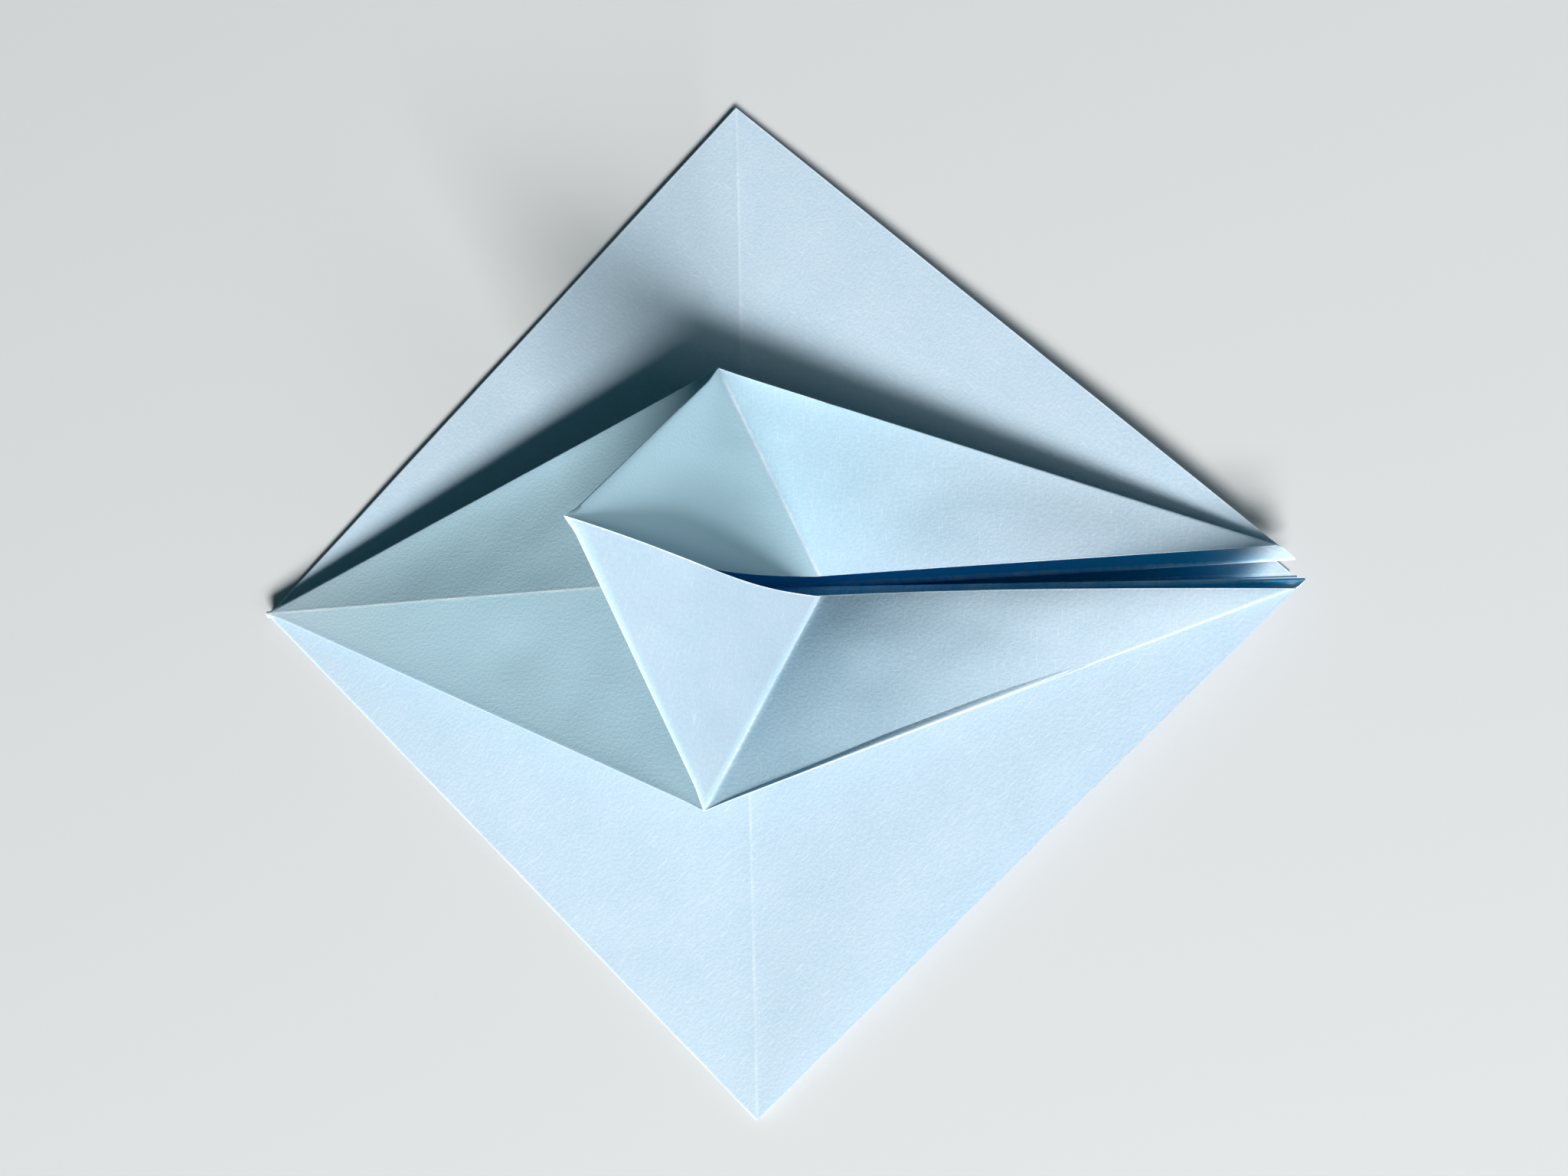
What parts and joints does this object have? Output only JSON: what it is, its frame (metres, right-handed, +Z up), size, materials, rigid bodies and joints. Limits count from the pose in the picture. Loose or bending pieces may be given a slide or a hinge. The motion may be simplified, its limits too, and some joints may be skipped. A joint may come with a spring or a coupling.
{
  "type": "origami bell flower",
  "caption": "Square paper sheet part-folded into a bell flower base: a flat folded square that carries a kite with raised wings and a petal standing up.",
  "frame": {"origin": "middle of the folded square, on its resting face", "axes": "+X from the closed tip to the open tip, +Y towards the side corner with the single flap, +Z up from the resting face"},
  "size_m": [0.149, 0.1442, 0.0424],
  "materials": {
    "paper": "matt, dyed through"
  },
  "bodies": {
    "root": {"folded_sheet": "paper"}
  },
  "joints": []
}
